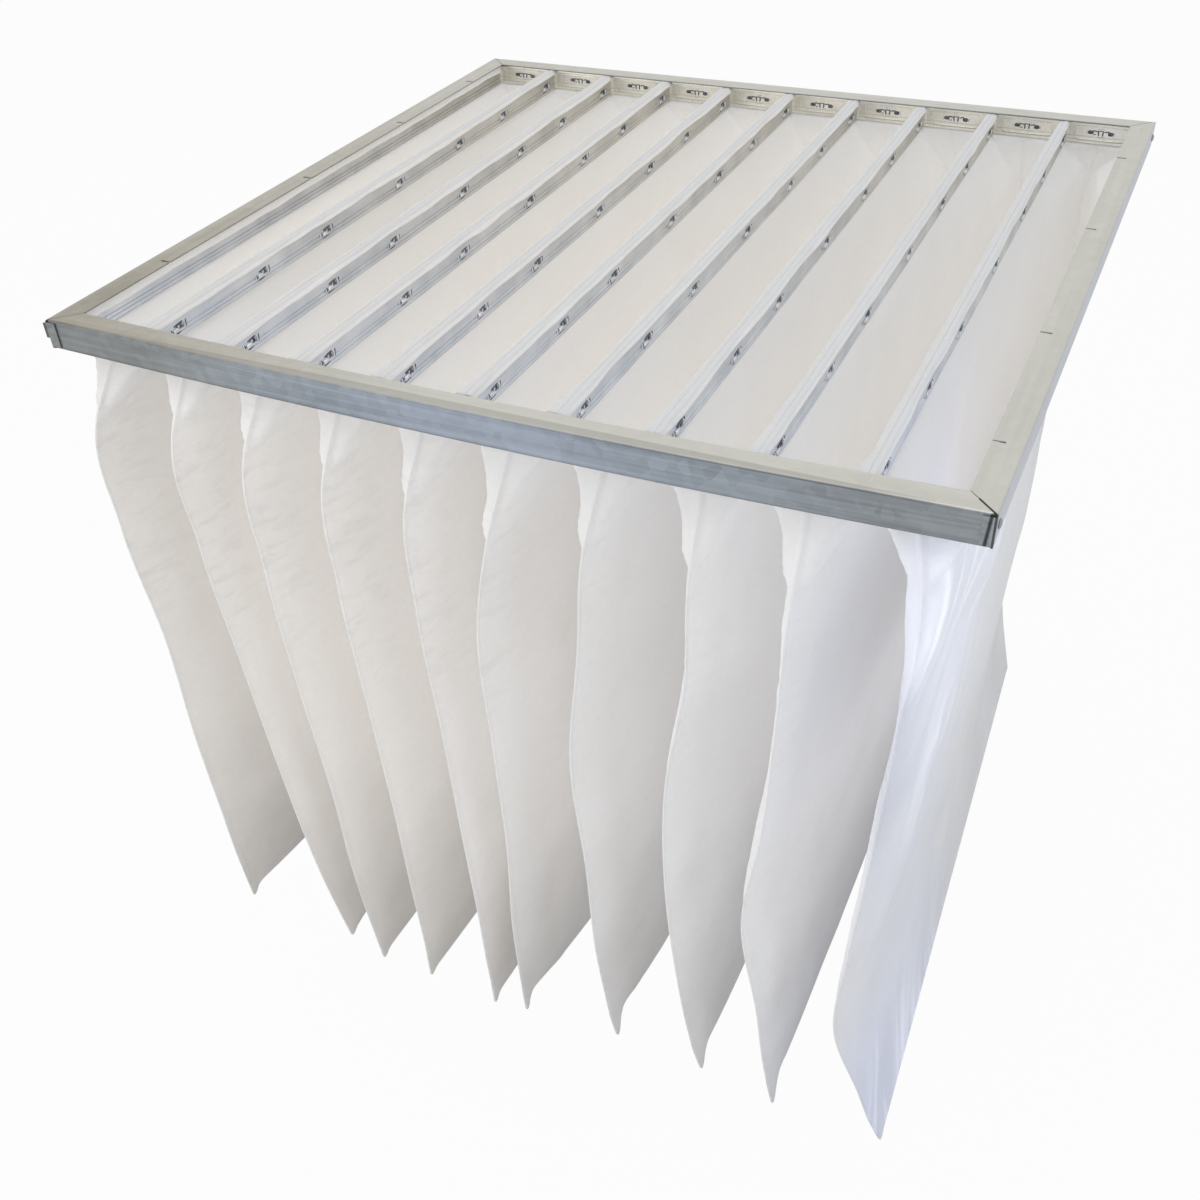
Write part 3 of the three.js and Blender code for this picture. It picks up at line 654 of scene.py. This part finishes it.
def make_pocket(index):
    """One pocket: two sheets of cloth joined along their sides and their ends, open at the top."""
    hang = HANGS[index]
    centre = centre_of(index)
    length = POCKET_LENGTH + hang["extra"]
    tip = hang["gusset"] / length
    places = [0.0, tip] + [place for place, _, _ in STATIONS]
    reach = smooth_curve(places, [0, GUSSET_TIP[0]] + [stand for _, stand, _ in STATIONS])
    fill = smooth_curve(places, [1.0, GUSSET_TIP[1]] + [
        full * (hang["full"] + (1 - hang["full"]) * place) for place, _, full in STATIONS])
    front_sway = smooth_curve(places, (0,) + hang["front"])
    back_sway = smooth_curve(places, (0,) + hang["back"])
    thin = SEAM_HALF_THICKNESS
    columns = len(COLUMNS)
    rings = []

    def add_ring(left, right):
        """Joins two sides, each given as points across, away and level, to one ring."""
        ring = [(-left[0][i], left[1][i], left[2][i]) for i in range(columns - 1, -1, -1)]
        ring += [(right[0][i], right[1][i], right[2][i]) for i in range(columns)]
        rings.append([(x + centre, y, z) for x, y, z in ring])

    for level, half_depth, neck_share in MOUTH_RINGS:
        sides = []
        for side in (-1, 1):
            half = MOUTH_HALF_WIDTH - (NECK_IN * neck_share if beside_header(index, side) else 0)
            px, py, _, _, _ = section(half, half, -half_depth, half_depth, 0.0, 0.0)
            sides.append((px, py, np.full(columns, level)))
        add_ring(*sides)

    for down in pocket_levels(length):
        to_tip = min(1.0, down / tip)
        edge = thin + (MOUTH_HALF_WIDTH - thin) * max(0.0, 1 - down / tip) ** 1.4
        full = thin + (MOUTH_HALF_WIDTH - thin) * float(fill(down))
        closed = down * length > length - SEAM_WIDTH
        body = 1 - down * length / (length - SEAM_WIDTH)
        if closed:
            full = thin
        elif body < CLOSING:
            full = thin + (full - thin) * max(0.0, body / CLOSING) ** 0.6
        flange = 1.0 + 3.4 * to_tip
        front = -(NECK_HALF_DEPTH + float(reach(down))) + flange
        back = NECK_HALF_DEPTH + float(reach(down)) - flange
        roof = 0.32 * edge * math.sin(math.pi * to_tip) if down < tip else 0.0
        bend = 2.0 - hang.get("straight", 0.0) * float(gentle(down, 0.7, 1.0))
        sides = []
        for side in (-1, 1):
            neck = 0.0
            if beside_header(index, side):
                neck = NECK_IN * max(0.0, 1 - down * length / NECK_HEIGHT)
            wide, roundness = full, FLANK_ROUNDNESS
            if side < 0 and "left_full" in hang and full > thin:
                upper = 1 - float(gentle(down, 0.07, 0.24))
                wide = full + (MOUTH_HALF_WIDTH * hang["left_full"] - full) * upper * to_tip
                roundness = FLANK_ROUNDNESS - 0.3 * upper * to_tip
            px, py, nx, ny, spots = section(max(edge - neck, thin), max(wide - neck, thin),
                                            front, back, roof, flange, roundness)
            along = spots / spots[-1] * FLAT_HALF
            other = FLAT_HALF - along
            share = (py - front) / (back - front)
            sway = float(front_sway(down)) * np.clip(1 - share, 0, 1) ** bend \
                + float(back_sway(down)) * np.clip(share, 0, 1) ** bend
            tail_front = hang["tail"] * (1 - np.exp(-np.maximum(along - 4, 0) / 4.0)) \
                * (0.4 + 0.6 * np.exp(-along / 45.0))
            tail_back = hang.get("back_tail", BACK_TAIL) \
                * (1 - np.exp(-np.maximum(other - 4, 0) / 4.0)) * np.exp(-other / 45.0)
            middle = gentle(along, FLAT_HALF * 0.35, FLAT_HALF * 0.65)
            drawn = tail_front * (1 - middle) + tail_back * middle
            level = NECK_LEVEL - down * (length - drawn + NECK_LEVEL)
            from_seam = np.where(along < FLAT_HALF / 2, along, np.minimum(along, other) + 400)
            out = folds(index, side, from_seam, level, hang, length)
            x = px + nx * out
            if closed or down > 0.93:
                x = np.maximum(x, thin)
            sides.append((x + side * sway, py + ny * out, level))
        add_ring(*sides)

    count = 2 * columns
    points = np.array(rings).reshape(-1, 3)
    faces = [face[::-1] for face in grid_faces(len(rings), count, True)]
    last = (len(rings) - 1) * count
    for i in range(columns - 1):
        faces.append((last + i, last + i + 1, last + count - 2 - i, last + count - 1 - i))
    piece = mesh_piece(f"cloth_pocket_{index + 1:02d}", points, faces, POCKET)
    # The inner faces take the lighter inside copy of the cloth, painted light
    piece.data.materials.append(INSIDE_LIT_CLOTH)
    wall = piece.modifiers.new("wall", "SOLIDIFY")
    wall.thickness = CLOTH * MM
    wall.offset = -1.0
    wall.use_even_offset = False
    wall.material_offset = 1
    return piece


# Hems over the retainers' long sides

def make_hem(index):
    """The cloth turned over the two long sides of a retainer, with a wavy lower edge."""
    centre = centre_of(index)
    points, faces = [], []
    half = RETAINER_HALF_DEPTH - RETAINER_REACH - 0.6
    places = np.concatenate([np.linspace(-half, -200, 34), np.linspace(-194, half, 92)])
    level_line = 0 * places
    for side in (-1, 1):
        seed = 500 + 10 * index + (side > 0)
        rim = (MOUTH_HALF_WIDTH if beside_header(index, side) else PITCH / 2) - 0.02
        front = gentle(-places, half - (30 if side > 0 else 80), half - 6)
        drop = HEM_DROP + 0.9 * waves(seed, places, level_line, 100.0, 3)
        drop = drop + 0.6 * front + (2.6 if index == 0 and side < 0 else 0.0)
        swell = 0.4 * waves(seed + 1, places, level_line, 70.0, 2)
        swell = swell + (2.2 if side > 0 else 0.3) * front
        lift = 0.25 * waves(seed + 2, places, level_line, 55.0, 2)
        start = len(points)
        for y, d, w, h in zip(places, drop, swell, lift):
            top = MOUTH_TOP - 0.15 + h
            inner = RETAINER_HALF_WIDTH - RETAINER_REACH - 0.95 - w
            outline = (
                (rim, top - 1.6), (rim, top - h - 0.08), (rim - 0.9, top),
                (inner + 1.9, top + 0.1), (inner + 0.7, top - 0.35), (inner + 0.1, top - 1.3),
                (inner - 0.05, top - d + 0.8), (inner + 0.2, top - d),
                (inner + 0.75, top - d + 0.1), (inner + 0.85, top - 1.5),
                (inner + 1.5, top - 1.05), (MOUTH_HALF_WIDTH - 1.0, top - 1.0),
            )
            points += [(centre + side * x, y, z) for x, z in outline]
        count = len(outline)
        quads = grid_faces(len(places), count, True, start)
        quads += [tuple(range(start + count - 1, start - 1, -1)),
                  tuple(range(start + (len(places) - 1) * count, start + len(places) * count))]
        faces += quads if side > 0 else [quad[::-1] for quad in quads]
    return mesh_piece(f"hem_{index + 1:02d}", points, faces, HEM)


# Retainers

def retainer_outline():
    """The strip in section: how far in from the ring's outside, and the level."""
    low, high, deep, sheet = RETAINER_LOW, RETAINER_HIGH, RETAINER_REACH, RETAINER_SHEET
    return [
        (0.0, low), (deep - 0.7, low), (deep - 0.2, low + 0.2), (deep, low + 0.7),
        (deep, 4.0), (deep - 0.4, 4.35), (deep - 0.45, 4.85), (deep, 5.2),
        (deep, 6.9), (deep - 0.45, 7.2), (deep - 0.45, 7.6), (deep, 7.9),
        (deep, high - 0.7), (deep - 0.2, high - 0.2), (deep - 0.7, high), (0.0, high),
        (0.0, high - sheet), (deep - sheet, high - sheet - 0.1),
        (deep - sheet, low + sheet + 0.1), (0.0, low + sheet),
    ]


def make_retainer(index):
    """The ring that holds a pocket's mouth open: a folded strip bent round four corners."""
    centre = centre_of(index)
    w, d, r = RETAINER_HALF_WIDTH, RETAINER_HALF_DEPTH, RETAINER_CORNER
    long, short = 2 * (d - r), 2 * (w - r)
    path = []
    for cx, cy, start, step_x, step_y, run, cuts in (
        (w - r, -d + r, -90, 0, 1, long, 40), (w - r, d - r, 0, -1, 0, short, 6),
        (-w + r, d - r, 90, 0, -1, long, 40), (-w + r, -d + r, 180, 1, 0, short, 6),
    ):
        for step in range(5):
            a = math.radians(start + 90 * step / 4)
            path.append((cx, cy, math.cos(a), math.sin(a)))
        for k in range(1, cuts):
            t = run * k / cuts
            path.append((cx + step_x * t, cy + step_y * t, math.cos(a), math.sin(a)))
    outline = retainer_outline()
    points = []
    for cx, cy, nx, ny in path:
        wobble = 0.16 * math.sin(cy * 0.031 + index * 1.7) + 0.1 * math.sin(cy * 0.083 + index)
        for inset, z in outline:
            reach = r - inset
            points.append((centre + cx + nx * reach + abs(nx) * wobble * 0.6, cy + ny * reach, z))
    total = len(points)
    faces = [tuple(i % total for i in face)[::-1]
             for face in grid_faces(len(path) + 1, len(outline), True)]
    return mesh_piece(f"retainer_ring_{index + 1:02d}", points, faces, STRIP, False)


# Pressed marks, repeated along the retainers

# The bumps carry a painted highlight and the dark pads painted shade
# Low pads: across, up, half length, half width, height, turn
CLINCH_BUMPS = (
    (-1.7, -0.6, 2.1, 1.15, 0.75, 0.1), (4.1, 0.2, 0.5, 1.7, 0.7, 0.0),
    (-5.6, -0.2, 0.4, 1.2, 0.5, 0.0),
)
# Raised dark pads that stand for the slits and hollows of a clinch, painted shade
CLINCH_SHADE_PADS = (
    (0.4, 1.7, 3.2, 0.5, 0.22, 0.1), (2.0, 0.4, 0.95, 1.1, 0.22, 0.3),
    (-4.6, -0.3, 0.4, 1.2, 0.2, 0.2), (5.4, 0.3, 0.4, 1.9, 0.22, -0.12),
    (-1.2, -2.2, 2.6, 0.25, 0.2, 0.05), (-0.6, 0.6, 0.5, 0.5, 0.2, 0.0),
)
END_FRAME = (
    (0, 4.6, 19.5, 0.45, 0.55, 0.0), (0, -5.6, 19.5, 0.45, 0.55, 0.0),
    (-19.5, -0.5, 0.45, 5.1, 0.55, 0.0), (19.5, -0.5, 0.45, 5.1, 0.55, 0.0),
)
END_BUMPS = (
    (-10.4, 0.2, 0.5, 1.7, 0.7, 0.0), (10.4, 0.2, 0.5, 1.7, 0.7, 0.0),
    (0, 3.0, 3.4, 0.4, 0.6, 0.0), (0.4, -2.6, 3.0, 0.45, 0.6, 0.05),
)
# Raised dark pads that stand for the hollows of the end marks, painted shade
END_SHADE_PADS = (
    (-7.6, 0.3, 2.3, 1.5, 0.25, 0.0), (7.6, 0.0, 2.2, 1.6, 0.25, 0.0),
    (-4.2, 1.5, 2.0, 0.5, 0.22, -0.2), (4.4, 1.4, 2.0, 0.5, 0.22, 0.2),
    (-1.7, -0.2, 0.6, 2.0, 0.25, 0.1), (1.6, -0.2, 0.6, 2.0, 0.25, -0.1),
    (0, 1.7, 2.6, 0.4, 0.2, 0.0), (-4.4, -1.2, 1.2, 0.35, 0.2, 0.2),
)

# A pad's rings, share of its size and of its height, and the points of each
PAD_RINGS = ((1.0, 0.0), (0.92, 0.6), (0.6, 1.0))
PAD_POINTS = 10
PAD_ROUNDNESS = 0.6


def repeat_tree(name):
    """Sets an item on each point of a mesh, turned as the point's own turn says."""
    tree = bpy.data.node_groups.new(name, "GeometryNodeTree")
    face = tree.interface
    face.new_socket("Geometry", in_out="INPUT", socket_type="NodeSocketGeometry")
    face.new_socket("Item", in_out="INPUT", socket_type="NodeSocketObject")
    face.new_socket("Size", in_out="INPUT", socket_type="NodeSocketFloat").default_value = 1.0
    face.new_socket("Finish", in_out="INPUT", socket_type="NodeSocketMaterial")
    face.new_socket("Geometry", in_out="OUTPUT", socket_type="NodeSocketGeometry")
    start = tree.nodes.new("NodeGroupInput")
    item = tree.nodes.new("GeometryNodeObjectInfo")
    item.inputs["As Instance"].default_value = True
    turn = tree.nodes.new("GeometryNodeInputNamedAttribute")
    turn.data_type = "FLOAT_VECTOR"
    turn.inputs["Name"].default_value = "turn"
    spread = tree.nodes.new("GeometryNodeInstanceOnPoints")
    real = tree.nodes.new("GeometryNodeRealizeInstances")
    paint = tree.nodes.new("GeometryNodeSetMaterial")
    end = tree.nodes.new("NodeGroupOutput")
    for a, b in (
        (start.outputs["Geometry"], spread.inputs["Points"]),
        (start.outputs["Item"], item.inputs["Object"]),
        (item.outputs["Geometry"], spread.inputs["Instance"]),
        (turn.outputs["Attribute"], spread.inputs["Rotation"]),
        (start.outputs["Size"], spread.inputs["Scale"]),
        (spread.outputs["Instances"], real.inputs["Geometry"]),
        (real.outputs["Geometry"], paint.inputs["Geometry"]),
        (start.outputs["Finish"], paint.inputs["Material"]),
        (paint.outputs["Geometry"], end.inputs["Geometry"]),
    ):
        tree.links.new(a, b)
    return tree


REPEAT = repeat_tree("set_items_on_points")


def repeat(name, shapes, spots, finish, size=1.0):
    """Puts the pads on every spot, (place, turn), and makes one plain mesh of them."""
    item = pads(name + "_item", shapes)
    mesh = bpy.data.meshes.new(name + "_spots")
    mesh.from_pydata([[v * MM for v in place] for place, _ in spots], [], [])
    turns = mesh.attributes.new("turn", "FLOAT_VECTOR", "POINT")
    turns.data.foreach_set("vector", [v for _, turn in spots for v in turn])
    holder = bpy.data.objects.new(name + "_spots", mesh)
    bpy.context.scene.collection.objects.link(holder)
    modifier = holder.modifiers.new("repeat", "NODES")
    modifier.node_group = REPEAT
    values = {"Item": item, "Size": size, "Finish": finish}
    for socket in REPEAT.interface.items_tree:
        if socket.in_out == "INPUT" and socket.name in values:
            modifier[socket.identifier] = values[socket.name]
    holder.update_tag()
    bpy.context.view_layer.update()
    graph = bpy.context.evaluated_depsgraph_get()
    made = bpy.data.meshes.new_from_object(holder.evaluated_get(graph))
    made.name = name
    piece = bpy.data.objects.new(name, made)
    bpy.context.scene.collection.objects.link(piece)
    bpy.data.objects.remove(holder)
    bpy.data.objects.remove(item)
    return piece


def pads(name, shapes):
    """Low pads with rounded rims on the plane z = 0."""
    points, faces = [], []
    rings, steps = len(PAD_RINGS), PAD_POINTS
    for x, y, a, b, height, turn in shapes:
        start = len(points)
        ct, st = math.cos(turn), math.sin(turn)
        for share, level in PAD_RINGS:
            for k in range(steps):
                t = 2 * math.pi * k / steps
                u = a * share * math.copysign(abs(math.cos(t)) ** PAD_ROUNDNESS, math.cos(t))
                v = b * share * math.copysign(abs(math.sin(t)) ** PAD_ROUNDNESS, math.sin(t))
                points.append((x + u * ct - v * st, y + u * st + v * ct, height * level))
        faces += grid_faces(rings, steps, True, start)
        faces.append(tuple(range(start + (rings - 1) * steps, start + rings * steps)))
        faces.append(tuple(range(start + steps - 1, start - 1, -1)))
    return mesh_piece(name, points, faces, STRIP)


def turn_of(x_axis, y_axis, z_axis):
    """The turn that lays an item's own axes along the given ones."""
    return tuple(Matrix((x_axis, y_axis, z_axis)).transposed().to_euler("XYZ"))


def clinch_spots():
    """The clinches, on both faces of each wall between two pockets."""
    inner = RETAINER_HALF_WIDTH - RETAINER_REACH
    spots = []
    for index in range(POCKETS):
        for side in (-1, 1):
            if beside_header(index, side):
                continue
            turn = turn_of((0, -side, 0), (0, 0, 1), (-side, 0, 0))
            x = centre_of(index) + side * inner
            spots += [((x, y, CLINCH_LEVEL), turn) for y in CLINCHES]
    return spots


def end_spots():
    """The marks on both end walls of each pocket."""
    inner = RETAINER_HALF_DEPTH - RETAINER_REACH
    return [((centre_of(index), side * inner, END_MARK_LEVEL),
             turn_of((side, 0, 0), (0, 0, 1), (0, -side, 0)))
            for index in range(POCKETS) for side in (-1, 1)]


def make_marks():
    """The clinches, and the pressed frames with their marks on the end walls, with painted
    highlights on the bumps and painted shade on the dark pads.
    """
    clinches, ends = clinch_spots(), end_spots()
    return [
        repeat("clinch_bumps", CLINCH_BUMPS, clinches, PRESSED_HIGHLIGHT, CLINCH_SIZE),
        repeat("clinch_hollows", CLINCH_SHADE_PADS, clinches, SHADE, CLINCH_SIZE),
        repeat("end_frames", END_FRAME, ends, STRIP),
        repeat("end_bumps", END_BUMPS, ends, PRESSED_HIGHLIGHT),
        repeat("end_hollows", END_SHADE_PADS, ends, SHADE),
    ]


# Pockets, hems and retainers in place

for i in range(POCKETS):
    number = f"{i + 1:02d}"
    pocket = make_pocket(i)
    hem = make_hem(i)
    ring = make_retainer(i)
    for piece in (pocket, hem, ring):
        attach(piece, "root")
    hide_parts(f"pocket_{number}")
    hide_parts(f"retainer_{number}")

for piece in make_marks():
    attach(piece, "root")

CARRIED = {"front_rail": HEADER_ACROSS, "back_rail": HEADER_ACROSS,
           "left_rail": HEADER_ALONG, "right_rail": HEADER_ALONG}
for name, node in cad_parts.items():
    finish = RIVET if name.startswith("corner_rivet") else CARRIED.get(name)
    if finish:
        node.data.materials.clear()
        node.data.materials.append(finish)


# Studio

FLOOR_HALF = 9.0
FLOOR_BELOW = 0.12
FLOOR_GREY = (0.5, 0.5, 0.5)
FLOOR_WHITENESS = 0.965
WHITE = (1.0, 1.0, 1.0)
SKY = (0.93, 0.96, 1.0)
SKY_STRENGTH = 0.56
WARM_LAMP = (1.0, 0.99, 0.975)
COOL_LAMP = (0.95, 0.97, 1.0)

# Lamps: place, what they point at, width, power and colour
LAMPS = {
    "over": ((-0.3, -0.3, 2.3), (0, 0, -0.1), 2.2, 19, WARM_LAMP),
    "front_left": ((-1.7, -2.2, 0.5), (0, 0, -0.25), 1.6, 23, WARM_LAMP),
    "right": ((2.2, -0.9, 0.6), (0, 0, -0.2), 1.4, 10, COOL_LAMP),
}


def seen_rays(tree):
    """1 for what the camera sees, straight or in metal, and 0 for the light on the object."""
    path = tree.nodes.new("ShaderNodeLightPath")
    straight, mirrored, through = (Wire(path.outputs[f"Is {kind} Ray"])
                                   for kind in ("Camera", "Glossy", "Transmission"))
    return (straight + mirrored + through).math("MINIMUM", 1.0)


def make_floor():
    """A floor that is almost white to the camera and keeps the object's shadow."""
    mesh = bpy.data.meshes.new("floor")
    size, level = FLOOR_HALF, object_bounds()[0].z - FLOOR_BELOW
    mesh.from_pydata([(-size, -size, level), (size, -size, level), (size, size, level),
                      (-size, size, level)], [], [(0, 1, 2, 3)])
    floor = bpy.data.objects.new("floor", mesh)
    bpy.context.scene.collection.objects.link(floor)
    pale = Finish("pale_floor")
    matt = pale.node("BsdfDiffuse", Color=FLOOR_GREY)
    glow = pale.node("Emission", Color=WHITE, Strength=1.0)
    both = pale.node("MixShader", n0=seen_rays(pale.tree) * FLOOR_WHITENESS, n1=matt, n2=glow)
    end = pale.tree.nodes.new("ShaderNodeOutputMaterial")
    feed(end.inputs[0], both)
    mesh.materials.append(pale.material)


def make_world():
    """Soft light from all round, and white where it is seen."""
    world = bpy.data.worlds.new("studio")
    bpy.context.scene.world = world
    world.use_nodes = True
    tree = world.node_tree
    tree.nodes.clear()
    soft, white = (tree.nodes.new("ShaderNodeBackground") for _ in range(2))
    feed(soft.inputs[0], SKY)
    feed(soft.inputs[1], SKY_STRENGTH)
    feed(white.inputs[0], WHITE)
    mix = tree.nodes.new("ShaderNodeMixShader")
    end = tree.nodes.new("ShaderNodeOutputWorld")
    feed(mix.inputs[0], seen_rays(tree))
    feed(mix.inputs[1], Wire(soft.outputs[0]))
    feed(mix.inputs[2], Wire(white.outputs[0]))
    feed(end.inputs[0], Wire(mix.outputs[0]))


def make_lamps():
    for name, (place, aim, width, power, colour) in LAMPS.items():
        light = bpy.data.lights.new(name, "AREA")
        light.shape = "SQUARE"
        light.size = width
        light.energy = power
        light.color = colour
        holder = bpy.data.objects.new(name, light)
        holder.location = place
        holder.rotation_mode = "QUATERNION"
        holder.rotation_quaternion = (Vector(aim) - Vector(place)).to_track_quat("-Z", "Y")
        bpy.context.scene.collection.objects.link(holder)


# The photograph's own view, solved from the header's corners: metres and directions
CAMERA_PLACE = (0.3563, -0.83447, 0.37527)
CAMERA_RIGHT = (0.90557, 0.42236, -0.03944)
CAMERA_AHEAD = (-0.35596, 0.70604, -0.61220)
SENSOR_WIDTH = 36.0
FOCAL_LENGTH = 39.61
LIGHT_BOUNCES = 12


def make_camera():
    lens = bpy.data.cameras.new("camera")
    lens.sensor_width = SENSOR_WIDTH
    lens.lens = FOCAL_LENGTH
    lens.clip_end = 50.0
    holder = bpy.data.objects.new("camera", lens)
    right = Vector(CAMERA_RIGHT).normalized()
    ahead = Vector(CAMERA_AHEAD).normalized()
    turn = Matrix((right, right.cross(ahead).normalized(), -ahead)).transposed()
    holder.matrix_world = Matrix.Translation(CAMERA_PLACE) @ turn.to_4x4()
    bpy.context.scene.collection.objects.link(holder)
    bpy.context.scene.camera = holder


make_camera()
make_floor()
make_world()
make_lamps()
bpy.context.scene.cycles.diffuse_bounces = LIGHT_BOUNCES
bpy.context.scene.view_settings.view_transform = "Standard"
